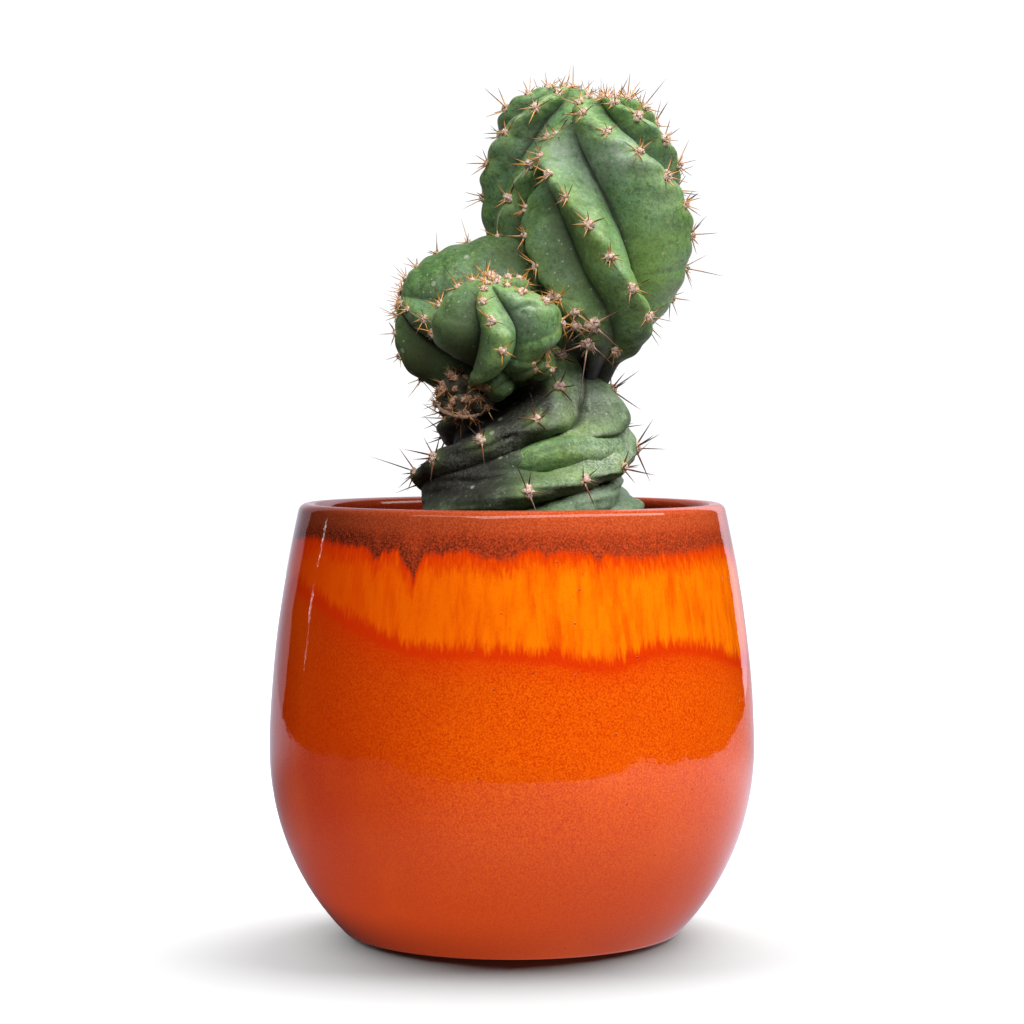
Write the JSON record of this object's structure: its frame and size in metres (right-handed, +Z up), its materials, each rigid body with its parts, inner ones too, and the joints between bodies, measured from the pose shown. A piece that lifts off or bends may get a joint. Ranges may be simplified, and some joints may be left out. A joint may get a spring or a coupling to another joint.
{
  "type": "potted cereus cactus",
  "caption": "Ribbed cereus cactus with a twisted trunk, a tall head, a back stem and side shoots, in a round glossy glazed pot with soil.",
  "frame": {"origin": "middle of the pot's foot, on the surface it stands on", "axes": "+Z up along the pot's axis, -Y towards the viewer of the picture, +X to the picture's right"},
  "size_m": [0.1348, 0.1348, 0.2448],
  "materials": {
    "pot_glaze": "glossy reactive glaze, rust brown at the rim, streaky orange below it and coral orange at the foot",
    "soil": "matt crumbly potting mix",
    "cactus_skin": "waxy green skin with a pale bloom, felted pads and orange to dark brown spines"
  },
  "bodies": {
    "root": {"glazed_pot": "pot_glaze", "potting_soil": "soil", "cactus": "cactus_skin"}
  },
  "joints": []
}
